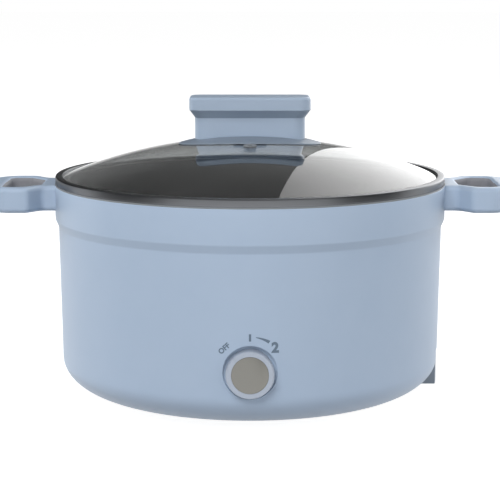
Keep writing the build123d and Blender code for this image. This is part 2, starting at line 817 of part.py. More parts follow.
# ------------------------------------------------------------------ power inlet
pin_height = (socket_bottom + socket_top) / 2
earth_height = pin_height - pin_radius
pin_places = [(-pin_pitch, pin_height), (0, earth_height), (pin_pitch, pin_height)]
tongue_start = inlet_inner - tongue_reach
with BuildPart() as inlet_housing:
    with BuildSketch(Plane.XY.offset(inlet_bottom)):
        Circle(inlet_face)
        with Locations((inlet_inner, 0)):
            Rectangle(
                inlet_face,
                2 * inlet_half,
                align=(Align.MIN, Align.CENTER),
                mode=Mode.INTERSECT,
            )
    extrude(amount=inlet_top - inlet_bottom)
    with BuildSketch(Plane.XY.offset(lip_top)):
        with Locations((tongue_start, 0)):
            Rectangle(tongue_reach, 2 * inlet_half, align=(Align.MIN, Align.CENTER))
        with Locations(
            (inlet_screw_reach, -inlet_screw_side),
            (inlet_screw_reach, inlet_screw_side),
        ):
            Circle(m3_radius + slip_gap, mode=Mode.SUBTRACT)
    extrude(amount=tongue_height)
    with BuildSketch(Plane.YZ.offset(inlet_inner + socket_back)):
        with Locations((0, pin_height)):
            RectangleRounded(2 * socket_half, socket_top - socket_bottom, socket_corner)
    extrude(amount=inlet_face, mode=Mode.SUBTRACT)
    with BuildSketch(Plane.YZ.offset(inlet_inner)):
        with Locations(*pin_places):
            Circle(pin_radius)
    extrude(amount=socket_back, mode=Mode.SUBTRACT)
write(inlet_housing, "inlet_housing")

with BuildPart() as inlet_pins:
    with BuildSketch(Plane.YZ.offset(inlet_inner - pin_in)):
        with Locations(*pin_places):
            Circle(pin_radius)
    extrude(amount=pin_in + socket_back + pin_out)
    fillet(faces().group_by(Axis.X)[-1].edges(), pin_radius * 0.6)
write(inlet_pins, "inlet_pins")

with BuildPart() as inlet_screws:
    for side in (-inlet_screw_side, inlet_screw_side):
        seat = Plane((inlet_screw_reach, side, lip_top + tongue_height))
        add(screw(seat, m3_radius, head_m3, head_height_m3, tongue_height + shell_wall * thread_share))
write(inlet_screws, "inlet_screws")

# ------------------------------------------------------------------ bottom
cover_radius = corner_start - shell_wall - cover_edge_gap
with BuildPart() as bottom_cover:
    with BuildSketch(Plane.XY.offset(foot_height)):
        Circle(cover_radius)
        with PolarLocations(boss_ring_radius, 4, start_angle=45):
            Circle(m3_radius + slip_gap, mode=Mode.SUBTRACT)
        with PolarLocations(foot_ring_radius, 4):
            Circle(foot_plug_radius, mode=Mode.SUBTRACT)
        for ring in range(vent_ring_count):
            ring_radius = vent_ring_radius + ring * vent_ring_step
            for slot in range(vents_in_ring):
                start = slot * 360 / vents_in_ring - vent_arc / 2
                slot_line = CenterArc((0, 0), ring_radius, start, vent_arc, mode=Mode.PRIVATE)
                SlotArc(slot_line, vent_width, mode=Mode.SUBTRACT)
    extrude(amount=cover_height)
write(bottom_cover, "bottom_cover")

with BuildPart() as cover_screws:
    for quarter in range(4):
        seat = Plane(around(boss_ring_radius, 45 + 90 * quarter, foot_height), z_dir=(0, 0, -1))
        add(screw(seat, m3_radius, head_m3, head_height_m3, cover_height + boss_height * thread_share))
write(cover_screws, "cover_screws")

with BuildPart() as rubber_feet:
    with BuildSketch(Plane.XY):
        with PolarLocations(foot_ring_radius, 4):
            Circle(foot_radius)
    extrude(amount=foot_height)
    fillet(edges().filter_by(GeomType.CIRCLE).group_by(Axis.Z)[0], foot_height / 4)
    with BuildSketch(Plane.XY.offset(foot_height)):
        with PolarLocations(foot_ring_radius, 4):
            Circle(foot_plug_radius)
    extrude(amount=foot_plug_height)
write(rubber_feet, "rubber_feet")

# ------------------------------------------------------------------ lid
dome_middle = (0, 0, dome_centre)
outer_angle = degrees(asin(glass_edge / dome_radius))
inner_radius = dome_radius - glass_thickness
inner_angle = degrees(asin(glass_edge / inner_radius))
with BuildSketch(Plane.XZ) as glass_section:
    with BuildLine():
        top_arc = CenterArc((0, dome_centre), dome_radius, 90, -outer_angle)
        low_arc = CenterArc((0, dome_centre), inner_radius, 90, -inner_angle)
        Line(top_arc @ 0, low_arc @ 0)
        Line(top_arc @ 1, low_arc @ 1)
    make_face()
    # the underside is ground flat where it lies on the ring
    with Locations((lid_radius, glass_seat)):
        Rectangle(
            lid_radius - skirt_inner,
            2 * glass_thickness,
            align=(Align.MAX, Align.MAX),
            mode=Mode.SUBTRACT,
        )

vent_lean = degrees(asin(vent_place / dome_radius))
vent_plane = Plane(
    (0, -vent_place, sphere_height(dome_radius, vent_place)),
    x_dir=(1, 0, 0),
    z_dir=(0, -sin(radians(vent_lean)), cos(radians(vent_lean))),
)
with BuildPart() as lid_glass:
    add(glass_section.sketch)
    revolve(axis=Axis.Z)
    with BuildSketch(Plane.XY.offset(dome_top)):
        Circle(lid_screw_radius + 2 * slip_gap)
    extrude(amount=-3 * glass_thickness, mode=Mode.SUBTRACT)
    with BuildSketch(vent_plane):
        Circle(vent_radius + slip_gap)
    extrude(amount=2 * glass_thickness, both=True, mode=Mode.SUBTRACT)
write(lid_glass, "lid_glass")

# rolled rim: flat flange on the pan, skirt inside the mouth, groove for the edge of the glass
with BuildPart() as lid_ring:
    with BuildSketch(Plane.XZ):
        with BuildLine():
            Polyline(
                (skirt_inner, ring_bottom - skirt_depth),
                (skirt_radius, ring_bottom - skirt_depth),
                (skirt_radius, ring_bottom),
                (lid_radius, ring_bottom),
                (lid_radius, ring_top),
                (ring_lip_radius, ring_top),
                (ring_lip_radius, glass_seat),
                (skirt_inner, glass_seat),
                close=True,
            )
        make_face()
        add(glass_section.sketch, mode=Mode.SUBTRACT)
    revolve(axis=Axis.Z)
    rolled = edges().filter_by(GeomType.CIRCLE).filter_by(lambda e: e.radius > lid_radius - slip_gap)
    fillet(rolled, ring_round)
write(lid_ring, "lid_ring")

with BuildPart() as vent_eyelet:
    with BuildSketch(vent_plane):
        Circle(eyelet_radius)
    extrude(amount=eyelet_sheet)
    with BuildSketch(vent_plane.offset(-glass_thickness - slip_gap)):
        Circle(eyelet_radius)
    extrude(amount=-eyelet_sheet)
    with BuildSketch(vent_plane):
        Circle(vent_radius)
    extrude(amount=-glass_thickness - slip_gap)
    with BuildSketch(vent_plane):
        Circle(eyelet_bore)
    extrude(amount=2 * glass_thickness, both=True, mode=Mode.SUBTRACT)
write(vent_eyelet, "vent_eyelet")

# ------------------------------------------------------------------ lid knob
gasket_top = dome_top + gasket_height
with BuildPart() as lid_gasket:
    with BuildSketch(Plane.XY.offset(gasket_top)):
        Circle(gasket_radius)
        Circle(lid_screw_radius + slip_gap, mode=Mode.SUBTRACT)
    extrude(amount=-2 * gasket_height)
    with Locations(dome_middle):
        Sphere(dome_radius, mode=Mode.SUBTRACT)
write(lid_gasket, "lid_gasket")


def neck_outline(half_long, half_wide, waist, corner):
    """Rounded oblong with hollowed long faces."""
    with BuildSketch() as outline:
        with BuildLine():
            back = ThreePointArc(
                (-half_long, half_wide), (0, half_wide - waist), (half_long, half_wide)
            )
            front = ThreePointArc(
                (-half_long, -half_wide), (0, -half_wide + waist), (half_long, -half_wide)
            )
            Line(back @ 0, front @ 0)
            Line(back @ 1, front @ 1)
        make_face()
        fillet(vertices(), corner)
    return outline.sketch


neck_section = neck_outline(neck_half_long, neck_half_wide, neck_waist, neck_corner)
bar_section = neck_outline(bar_half_long, bar_half_wide, slip_gap, bar_corner)
with BuildPart() as lid_base:
    with BuildSketch(Plane.XY.offset(dome_top + base_thickness)):
        Ellipse(base_half_long, base_half_wide)
    extrude(amount=-4 * base_thickness)
    with Locations(dome_middle):
        Sphere(dome_radius + base_thickness, mode=Mode.INTERSECT)
    fillet(faces().sort_by(Axis.Z)[-1].edges(), base_round)
    with BuildSketch(Plane.XY.offset(grip_foot)):
        add(neck_section)
    extrude(amount=-base_thickness)
    with Locations(dome_middle):
        Sphere(dome_radius + slip_gap, mode=Mode.SUBTRACT)
    with BuildSketch(Plane.XY.offset(gasket_top)):
        Circle(gasket_radius + slip_gap)
    extrude(amount=-base_thickness, mode=Mode.SUBTRACT)
    with BuildSketch(Plane.XY.offset(grip_foot)):
        Circle(lid_screw_radius + slip_gap)
    extrude(amount=-2 * base_thickness, mode=Mode.SUBTRACT)
write(lid_base, "lid_base")

flare_bottom = grip_foot + neck_height
bar_bottom = flare_bottom + flare_height
bar_top = bar_bottom + bar_height
with BuildPart() as lid_grip:
    with BuildSketch(Plane.XY.offset(grip_foot)):
        add(neck_section)
    extrude(amount=neck_height)
    with BuildSketch(Plane.XY.offset(flare_bottom)):
        add(neck_section)
    with BuildSketch(Plane.XY.offset(bar_bottom)):
        add(bar_section)
    loft()
    with BuildSketch(Plane.XY.offset(bar_bottom)):
        add(bar_section)
    extrude(amount=bar_height)
    fillet(faces().sort_by(Axis.Z)[-1].edges(), bar_round)
    with BuildSketch(Plane.XY.offset(grip_foot)):
        Circle(lid_screw_radius)
    extrude(amount=lid_screw_thread + lid_screw_room, mode=Mode.SUBTRACT)
write(lid_grip, "lid_grip")

pad_bottom = dome_top - glass_thickness - pad_height
with BuildPart() as lid_pad:
    with BuildSketch(Plane.XY.offset(pad_bottom)):
        Circle(washer_radius)
        Circle(lid_screw_radius + slip_gap, mode=Mode.SUBTRACT)
    extrude(amount=2 * pad_height)
    with Locations(dome_middle):
        Sphere(inner_radius - slip_gap, mode=Mode.INTERSECT)
write(lid_pad, "lid_pad")

washer_bottom = pad_bottom - washer_height
with BuildPart() as lid_washer:
    with BuildSketch(Plane.XY.offset(washer_bottom)):
        Circle(washer_radius)
        Circle(lid_screw_radius + slip_gap, mode=Mode.SUBTRACT)
    extrude(amount=washer_height)
    fillet(faces().sort_by(Axis.Z)[0].edges(), washer_height / 3)
write(lid_washer, "lid_washer")

with BuildPart() as lid_screw:
    seat = Plane((0, 0, washer_bottom), z_dir=(0, 0, -1))
    add(
        screw(
            seat,
            lid_screw_radius,
            lid_screw_radius * head_ratio,
            lid_screw_radius * head_height_ratio,
            grip_foot - washer_bottom + lid_screw_thread,
        )
    )
write(lid_screw, "lid_screw")

# ------------------------------------------------------------------ wiring
# Each wire starts and ends on a pin, a blade or a lead; the free points between them lead it
# round the shield, the bracket and the bosses.
pin_end = inlet_inner - pin_in
blade_end = blade_length - switch_back
loom_radius = boss_ring_radius - loom_inset
loom_outer = loom_radius + 4 * wire_radius
loom_inner = loom_radius * earth_tuck
start_cold, end_cold = cold_places
left_blade, right_blade = blade_places
near_lead, far_lead = lead_places
cold_tip = cold_end_bottom - cold_pin_length
blade_tip = pan_underside - thermostat_height - blade_length


def wire(points, name):
    """Insulated wire along straight runs, each pair joined by the widest bend it has room for."""
    corners = [Vector(point) for point in points]
    radii = []
    for before, corner, after in zip(corners, corners[1:], corners[2:]):
        turn = radians((corner - before).get_angle(after - corner))
        shorter_run = min((corner - before).length, (after - corner).length)
        radii.append(bend_share * shorter_run / tan(turn / 2))
    with BuildPart() as made:
        with BuildLine() as route:
            FilletPolyline(*corners, radius=radii)
        with BuildSketch(Plane(corners[0], z_dir=corners[1] - corners[0])):
            Circle(wire_radius)
        sweep(path=route.wires()[0])
    write(made, name)


wire(
    [
        (pin_end, -pin_pitch, pin_height),
        (pin_end - wire_start, -pin_pitch, pin_height),
        around(loom_radius, -38, loom_high),
        around(loom_outer, -72, loom_high),
        (blade_pitch, blade_end + blade_start, dial_height),
        (blade_pitch, blade_end, dial_height),
    ],
    "live_wire",
)
wire(
    [
        (-blade_pitch, blade_end, dial_height),
        (-blade_pitch, blade_end + blade_start, dial_height),
        around(loom_radius, -79, loom_low),
        (*end_cold, loom_low),
        (*end_cold, cold_tip),
    ],
    "heater_wire",
)
wire(
    [
        (*start_cold, cold_tip),
        (*start_cold, cold_tip - wire_start / 2),
        (start_cold[0] / 2, start_cold[1] / 2, loom_low),
        (*right_blade, loom_low),
        (*right_blade, blade_tip),
    ],
    "limiter_wire",
)
wire(
    [
        (*left_blade, blade_tip),
        (*left_blade, loom_top),
        (left_blade[0], near_lead[1], loom_top),
        (*near_lead, loom_top),
        (*near_lead, fuse_line),
        (fuse_x, fuse_y - fuse_length / 2, fuse_line),
    ],
    "fuse_wire",
)
wire(
    [
        (fuse_x, fuse_y + fuse_length / 2, fuse_line),
        (*far_lead, fuse_line),
        (*far_lead, loom_top),
        (pin_end - wire_start, pin_pitch, pin_height),
        (pin_end, pin_pitch, pin_height),
    ],
    "neutral_wire",
)
wire(
    [
        (pin_end, 0, earth_height),
        (pin_end - wire_start, 0, earth_height),
        around(loom_inner, 33, earth_height),
        around(loom_radius, 70, loom_high),
        (bracket_width / 3, loom_radius, loom_top),
        (bracket_width / 3, loom_radius, boss_top + bracket_sheet),
    ],
    "earth_wire",
)
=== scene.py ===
import json
from math import asin, atan2, cos, pi, radians, sin, sqrt

import bpy
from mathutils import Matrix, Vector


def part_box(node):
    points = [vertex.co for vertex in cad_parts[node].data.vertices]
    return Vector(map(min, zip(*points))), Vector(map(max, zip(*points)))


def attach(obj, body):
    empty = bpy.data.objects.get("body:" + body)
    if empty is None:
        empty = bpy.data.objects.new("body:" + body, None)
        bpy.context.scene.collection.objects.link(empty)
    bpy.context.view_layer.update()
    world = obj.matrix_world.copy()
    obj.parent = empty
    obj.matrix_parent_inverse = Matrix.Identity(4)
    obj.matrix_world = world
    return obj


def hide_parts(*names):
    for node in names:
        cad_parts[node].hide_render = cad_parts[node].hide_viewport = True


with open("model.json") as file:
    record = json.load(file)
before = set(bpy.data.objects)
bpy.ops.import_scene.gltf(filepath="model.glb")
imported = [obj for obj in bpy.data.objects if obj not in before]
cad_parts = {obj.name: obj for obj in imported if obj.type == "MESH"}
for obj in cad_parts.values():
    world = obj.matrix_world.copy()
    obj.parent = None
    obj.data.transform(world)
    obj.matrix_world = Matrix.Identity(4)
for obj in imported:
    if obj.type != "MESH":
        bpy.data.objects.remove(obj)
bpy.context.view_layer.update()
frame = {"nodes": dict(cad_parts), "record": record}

# Electric hot pot with a lift-off glass lid.  Sizes are written in millimetres and turned to
# metres where they are used.  The control knob faces -Y and the handles point along X.
MM = 0.001


# ------------------------------------------------------------------ camera
# a long lens, 1.27 m in front of the pot and looking down on it by 9.6 degrees
camera_data = bpy.data.cameras.new("camera")
camera_data.sensor_width = 36
camera_data.lens = 118.3
camera = bpy.data.objects.new("camera", camera_data)
camera.location = (0, -1.266, 0.3244)
camera.rotation_euler = (radians(80.36), 0, 0)
bpy.context.scene.collection.objects.link(camera)
bpy.context.scene.camera = camera


# ------------------------------------------------------------------ material helpers
def colour(hex_value):
    """An sRGB hex colour such as "a3b4c8" as linear RGBA."""
    parts = [int(hex_value[i : i + 2], 16) / 255 for i in (0, 2, 4)]
    linear = [p / 12.92 if p <= 0.04045 else ((p + 0.055) / 1.055) ** 2.4 for p in parts]
    return (*linear, 1.0)


def add_node(material, kind, settings=None, links=None):
    """Adds a node.  Settings are socket or property values, links join sockets to outputs."""
    made = material.node_tree.nodes.new(kind)
    for key, value in (settings or {}).items():
        if isinstance(key, int) or key in made.inputs:
            made.inputs[key].default_value = value
        else:
            setattr(made, key, value)
    for key, output in (links or {}).items():
        material.node_tree.links.new(output, made.inputs[key])
    return made


def empty_material(name):
    """A material with a node tree and nothing in it."""
    material = bpy.data.materials.new(name)
    material.use_nodes = True
    material.node_tree.nodes.clear()
    return material


def new_material(name):
    """A node material that has no shader yet, and the Object coordinates of its piece."""
    material = empty_material(name)
    return material, add_node(material, "ShaderNodeTexCoord").outputs["Object"]


def finished(material, shader):
    """Joins a shader to the output of its material."""
    add_node(material, "ShaderNodeOutputMaterial", links={"Surface": shader.outputs[0]})
    return material


def surfaced(material, settings, tint, low, high, relief, dent=0.0, strength=0.3, gloss=None):
    """Closes a material.  Tint mixes two shades; relief makes a bump of a depth in mm and, where
    gloss gives two roughnesses, varies the gloss between them.  Settings go to the shader."""
    # inputs 6 and 7 and output 2 of the mix are its colours
    shade = add_node(
        material,
        "ShaderNodeMix",
        {"data_type": "RGBA", 6: colour(low), 7: colour(high)},
        {0: tint},
    )
    links = {"Base Color": shade.outputs[2]}
    if gloss:
        spread = add_node(
            material,
            "ShaderNodeMapRange",
            {"From Min": 0.3, "From Max": 0.7, "To Min": gloss[0], "To Max": gloss[1]},
            {"Value": relief},
        )
        links["Roughness"] = spread.outputs["Result"]
    if dent:
        bump = add_node(
            material,
            "ShaderNodeBump",
            {"Strength": strength, "Distance": dent * MM},
            {"Height": relief},
        )
        links["Normal"] = bump.outputs["Normal"]
    return finished(material, add_node(material, "ShaderNodeBsdfPrincipled", settings, links))


def moulded(name, low, high, roughness, grain=0.45, ior=1.49):
    """Moulded plastic, rubber or ceramic: two close shades in slow drifts 22 mm wide from the
    flow of the melt, and a grain in the gloss and in the surface.  The width of the grain, in
    mm, is coarser than a real one, so that it shows."""
    material, place = new_material(name)
    drift = add_node(
        material,
        "ShaderNodeTexNoise",
        {"Scale": 1000 / 22.0, "Detail": 3.0, "Roughness": 0.5},
        {"Vector": place},
    )
    pits = add_node(
        material,
        "ShaderNodeTexNoise",
        {"Scale": 1000 / grain, "Detail": 2.0, "Roughness": 0.6},
        {"Vector": place},
    )
    return surfaced(
        material,
        {"IOR": ior},
        drift.outputs["Fac"],
        low,
        high,
        pits.outputs["Fac"],
        dent=0.03,
        strength=0.25,
        gloss=(roughness - 0.03, roughness + 0.03),
    )


def worked_metal(name, low, high, roughness, stretch, spacing, metallic=1.0):
    """Metal with the fine lines that its making leaves, a spacing in mm apart: the noise is
    drawn out along the directions in which stretch is small."""
    material, place = new_material(name)
    grain_space = add_node(
        material, "ShaderNodeMapping", {"Scale": stretch}, {"Vector": place}
    )
    lines = add_node(
        material,
        "ShaderNodeTexNoise",
        {"Scale": 1000 / spacing, "Detail": 3.0, "Roughness": 0.6},
        {"Vector": grain_space.outputs["Vector"]},
    ).outputs["Fac"]
    return surfaced(
        material,
        {"Metallic": metallic},
        lines,
        low,
        high,
        lines,
        dent=0.01,
        gloss=(roughness * 0.8, roughness * 1.2),
    )


def rolled_steel(name, low, high, roughness):
    """Dark stainless steel, rolled and polished: fine lines run round the pot's axis."""
    material, place = new_material(name)
    flat = add_node(
        material, "ShaderNodeVectorMath", {"operation": "MULTIPLY", 1: (1, 1, 0)}, {0: place}
    )
    reach = add_node(
        material, "ShaderNodeVectorMath", {"operation": "LENGTH"}, {0: flat.outputs["Vector"]}
    )
    height = add_node(material, "ShaderNodeSeparateXYZ", links={"Vector": place})
    section = add_node(
        material,
        "ShaderNodeCombineXYZ",
        links={"X": reach.outputs["Value"], "Z": height.outputs["Z"]},
    )
    lines = add_node(
        material,
        "ShaderNodeTexNoise",
        # lines 0.8 mm apart, coarser than real ones, so that they show
        {"Scale": 1000 / 0.8, "Detail": 2.0},
        {"Vector": section.outputs["Vector"]},
    ).outputs["Fac"]
    return surfaced(
        material,
        {"Metallic": 1.0},
        lines,
        low,
        high,
        lines,
        gloss=(roughness - 0.03, roughness + 0.03),
    )


# ------------------------------------------------------------------ materials
# Polypropylene, moulded in a spark-eroded tool: soft grey-blue with a satin sheen that
# lightens towards the edges of the round wall.
SHELL_BLUE = moulded("polypropylene_grey_blue", "a3b5cb", "a8b9ce", 0.42)
# The same plastic in the lid knob, a little darker and glossier.
KNOB_BLUE = moulded("polypropylene_lid_knob", "9aaabe", "9fafc2", 0.4)
# The foot of the knob, moulded plastic painted greyer and darker than the knob: painted shade
# for the dark reflection on its upward face.
FOOT_PAINTED_SHADE = moulded("knob_foot_painted_shade", "74808e", "7b8694", 0.45)
# Bottom cover, moulded in the regrind of the casing's plastic: the same blue, darker and dull.
COVER_BLUE = moulded("polypropylene_cover", "76879c", "7f90a5", 0.5)
# Moulded silicone of the lid's seals: near black and dull.
SILICONE = moulded("silicone_dark", "26272a", "2e2f33", 0.55, grain=0.8, ior=1.41)
# Moulded silicone of the seal under the pan's rim and of the steam eyelet: a soft mid grey,
# lifted as painted light against the shade in the gap under the lid's ring.
RIM_SILICONE = moulded("silicone_grey", "787c80", "808488", 0.5, grain=0.8, ior=1.41)
# The faces inside the finger holes of the handles: dull mid grey, darker than the handle.
HOLE_GREY = moulded("finger_hole_grey", "83848a", "8a8b90", 0.6, grain=0.6, ior=1.5)
# Moulded rubber of the feet: dark and dry, dusted from the mould.
RUBBER = moulded("rubber_feet", "2c2c2e", "39393c", 0.7, grain=0.6, ior=1.52)
# Silicone drawn over the wires: off-white, soft sheen.
WIRE_COVER = moulded("silicone_wire", "d8d7d2", "e3e2dd", 0.5, grain=0.8, ior=1.41)
# Pressed phenolic of the switch and the thermostat: dark brown-black, semi-gloss.
PHENOLIC = moulded("phenolic_dark", "2b2a2b", "333233", 0.35, grain=0.7, ior=1.6)
# Pressed phenolic of the inlet, tinted towards the casing: slate, semi-gloss.
INLET_GREY = moulded("phenolic_inlet", "7a8693", "838f9c", 0.4, grain=0.7, ior=1.6)
# Fired steatite of the beads: cream, chalky.
STEATITE = moulded("steatite", "dcd5c5", "e6e0d2", 0.45, grain=0.5, ior=1.6)
# Glazed ceramic case of the fuse: off-white, glassy.
GLAZE = moulded("glazed_ceramic", "e2e2de", "ecece8", 0.15, grain=1.2, ior=1.5)
# Galvanised sheet: pale grey with the slow bloom of the zinc.
ZINC = worked_metal("galvanised_sheet", "9fa3a6", "b4b8ba", 0.4, (1, 1, 1), 6.0)
# Zinc-plated screws, turned: bright, with fine rings round them.
PLATED_SCREW = worked_metal("zinc_plated_screw", "b4b6b8", "c6c8c9", 0.28, (1, 1, 6), 1.5)
# Drawn sheath of the heating element, tanned by heat: dull brown-grey.
ELEMENT_SHEATH = worked_metal("element_sheath", "6f675e", "857a6d", 0.45, (1, 1, 3), 4.0)
# Turned brass of the inlet's pins: warm yellow, shiny.
BRASS = worked_metal("turned_brass", "b3924e", "c7a863", 0.25, (6, 1, 1), 2.0)
# Tinned, stamped blades of the switch: pale, faintly streaked.
TINNED = worked_metal("tinned_blade", "b5b2a8", "c8c5bb", 0.3, (1, 3, 1), 3.0)
# Rolled rim of the lid: it reads as a soft dark band with the room in it.
RING_STEEL = rolled_steel("rolled_rim_steel", "6c6e71", "747679", 0.36)
# Edge of the pan's flange, turned bare where the coating ends: paler and rougher, and the paler
# colour is also painted light over the shade of the gap under the lid's ring.
BARE_EDGE_PAINTED_LIGHT = rolled_steel("turned_pan_edge_painted_light", "76787c", "7e8084", 0.45)
# Silver-painted ABS of the control knob: pale, with a soft metallic sheen.
KNOB_SILVER = worked_metal(
    "silver_painted_abs", "a1aab8", "aab3c1", 0.4, (1, 1, 1), 0.8, metallic=0.3
)


def spun_disc():
    """Spun aluminium disc: fine rings from the tool about its own centre, a warm grey face."""
    material, place = new_material("spun_aluminium")
    low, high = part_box("knob_cap")
    centred = add_node(
        material,
        "ShaderNodeMapping",
        {"Location": tuple(-(low + high) / 2)},
        {"Vector": place},
    )
    rings = add_node(
        material,
        "ShaderNodeTexWave",
        # 0.8 mm between rings, coarser than the real cut, so that they show
        {
            "wave_type": "RINGS",
            "rings_direction": "Y",
            "Scale": pi / 10 / (0.8 * MM),
            "Distortion": 0.4,
            "Detail": 2.0,
            "Detail Scale": 2.0,
        },
        {"Vector": centred.outputs["Vector"]},
    ).outputs["Fac"]
    settings = {"Metallic": 0.7, "Roughness": 0.5, "Anisotropic": 0.3}
    return surfaced(material, settings, rings, "83827d", "8b8a85", rings, dent=0.02)


def tempered_glass():
    """Tempered soda-lime glass, lightly smoked, with the slow ripple of its bending."""
    material, place = new_material("tempered_glass")
    ripple = add_node(
        material,
        "ShaderNodeTexNoise",
        # waves 90 mm long
        {"Scale": 1000 / 90, "Detail": 1.0},
        {"Vector": place},
    ).outputs["Fac"]
    settings = {"Transmission Weight": 1.0, "Roughness": 0.0, "IOR": 1.52}
    return surfaced(
        material, settings, ripple, "d6d8d8", "dcdede", ripple, dent=0.05, strength=0.15
    )


def nonstick():
    """Sprayed non-stick coating on cast aluminium: charcoal, fine speckle, soft sheen."""
    material, place = new_material("nonstick_coating")
    speckle = add_node(
        material,
        "ShaderNodeTexVoronoi",
        # specks 1.6 mm apart, coarser than real ones, so that they show
        {"Scale": 1000 / 1.6, "Randomness": 1.0},
        {"Vector": place},
    )
    specks = add_node(
        material,
        "ShaderNodeMapRange",
        {"From Min": 0.05, "From Max": 0.25, "To Min": 1.0, "To Max": 0.0},
        {"Value": speckle.outputs["Distance"]},
    )
    orange_peel = add_node(
        material,
        "ShaderNodeTexNoise",
        # dimples 1.1 mm apart
        {"Scale": 1000 / 1.1, "Detail": 2.0},
        {"Vector": place},
    )
    return surfaced(
        material,
        {"Roughness": 0.52, "IOR": 1.33},
        specks.outputs["Result"],
        "222223",
        "373738",
        orange_peel.outputs["Fac"],
        dent=0.05,
    )


# Pad-printed ink of the dial marks: dark slate, dry.
INK = moulded("dial_ink", "5b6b7d", "677789", 0.6, grain=0.3)

# Finish of each material slot of the frame
FINISH = {
    "shell_pp": SHELL_BLUE,
    "handle_pp": SHELL_BLUE,
    "silicone_dark": SILICONE,
    "pan_nonstick": nonstick(),
    "heater_sheath": ELEMENT_SHEATH,
    "steatite": STEATITE,
    "galvanised": ZINC,
    "screw_steel": PLATED_SCREW,
    "phenolic": PHENOLIC,
    "brass_pins": BRASS,
    "tinned_blades": TINNED,
    "fuse_case": GLAZE,
    "knob_silver": KNOB_SILVER,
    "knob_disc": spun_disc(),
    "cover_pp": COVER_BLUE,
    "foot_rubber": RUBBER,
    "wire_silicone": WIRE_COVER,
    "lid_glass": tempered_glass(),
    "ring_steel": RING_STEEL,
    "knob_pp": KNOB_BLUE,
}
NODE_SLOT = {s["node"]: s["material_slot"] for s in frame["record"]["subparts"]}
NODE_BODY = {
    node: body
    for body, nodes in frame["record"]["behaviour"]["bodies"].items()
    for node in nodes
}


def dress(piece, material):
    """Gives a piece one material."""
    piece.data.materials.clear()
    piece.data.materials.append(material)


for node, made in frame["nodes"].items():
    dress(made, FINISH[NODE_SLOT[node]])
dress(frame["nodes"]["inlet_housing"], INLET_GREY)
dress(frame["nodes"]["rim_gasket"], RIM_SILICONE)


# ------------------------------------------------------------------ modelling helpers
def start_object_work():
    """Object mode with nothing selected."""
    if bpy.context.mode != "OBJECT":
        bpy.ops.object.mode_set(mode="OBJECT")
    bpy.ops.object.select_all(action="DESELECT")


def take(piece):
    """Selects a piece alone and makes it active."""
    start_object_work()
    piece.select_set(True)
    bpy.context.view_layer.objects.active = piece


def take_edges(piece, wanted):
    """In edit mode, selects the edges whose middle, in mm, is wanted."""
    bpy.ops.object.mode_set(mode="EDIT")
    bpy.ops.mesh.select_mode(type="EDGE")
    bpy.ops.mesh.select_all(action="DESELECT")
    bpy.ops.object.mode_set(mode="OBJECT")
    mesh = piece.data
    for edge in mesh.edges:
        ends = [mesh.vertices[i].co / MM for i in edge.vertices]
        edge.select = wanted((ends[0] + ends[1]) / 2)
    bpy.ops.object.mode_set(mode="EDIT")


def turned(name, outline, segments):
    """A closed outline of (radius, height) points in mm, drawn round the pot axis ring by
    ring: each ring is extruded from the last and scaled to its radius."""
    start_object_work()
    radius, height = outline[0]
    bpy.ops.mesh.primitive_circle_add(
        vertices=segments, radius=radius * MM, location=(0, 0, height * MM)
    )
    piece = bpy.context.active_object
    piece.name = piece.data.name = name
    bpy.ops.object.transform_apply(location=True, rotation=True, scale=True)
    bpy.ops.object.mode_set(mode="EDIT")
    bpy.ops.mesh.select_all(action="SELECT")
    for next_radius, next_height in outline[1:] + outline[:1]:
        bpy.ops.mesh.extrude_region_move(
            TRANSFORM_OT_translate={"value": (0, 0, (next_height - height) * MM)}
        )
        share = next_radius / radius
        bpy.ops.transform.resize(
            value=(share, share, 1), center_override=(0, 0, next_height * MM)
        )
        radius, height = next_radius, next_height
    bpy.ops.mesh.select_all(action="SELECT")
    bpy.ops.mesh.remove_doubles(threshold=0.002 * MM)
    bpy.ops.mesh.normals_make_consistent(inside=False)
    bpy.ops.object.mode_set(mode="OBJECT")
    return piece


NEAR_RING, NEAR_LEVEL = 0.35, 0.02  # how far, in mm, an edge may lie from its ring


def round_rings(piece, places, width, segments):
    """Rounds the rings of a turned piece that lie at the given (radius, height) places."""

    def wanted(middle):
        reach = sqrt(middle.x**2 + middle.y**2)
        return any(
            abs(reach - radius) < NEAR_RING and abs(middle.z - height) < NEAR_LEVEL
            for radius, height in places
        )

    take(piece)
    take_edges(piece, wanted)
    bpy.ops.mesh.bevel(offset=width * MM, segments=segments, affect="EDGES", profile=0.5)
    bpy.ops.object.mode_set(mode="OBJECT")


def cut(piece, tool, operation="DIFFERENCE"):
    """Boolean of a piece with a tool, which is used up."""
    take(piece)
    modifier = piece.modifiers.new("cut", "BOOLEAN")
    modifier.object = tool
    modifier.operation = operation
    modifier.solver = "EXACT"
    bpy.ops.object.modifier_apply(modifier="cut")
    bpy.data.objects.remove(tool)


def rod(radius, length, place, turn, vertices):
    """A round tool for cutting, centred on a place in mm."""
    start_object_work()
    bpy.ops.mesh.primitive_cylinder_add(
        vertices=vertices,
        radius=radius * MM,
        depth=length * MM,
        location=[p * MM for p in place],
        rotation=turn,
    )
    tool = bpy.context.active_object
    bpy.ops.object.transform_apply(location=True, rotation=True, scale=True)
    return tool


def box_mm(node):
    """Lowest and highest corner of a node, in mm."""
    low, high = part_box(node)
    return low / MM, high / MM


def block(low, high):
    """A square tool for cutting, between two corners in mm."""
    start_object_work()
    bpy.ops.mesh.primitive_cube_add(size=1)
    tool = bpy.context.active_object
    tool.scale = [(b - a) * MM for a, b in zip(low, high)]
    tool.location = [(a + b) / 2 * MM for a, b in zip(low, high)]
    bpy.ops.object.transform_apply(location=True, rotation=True, scale=True)
    return tool


def smooth(piece, angle):
    """Smooth shading, apart from edges sharper than an angle in degrees."""
    take(piece)
    bpy.ops.object.shade_smooth_by_angle(angle=radians(angle))


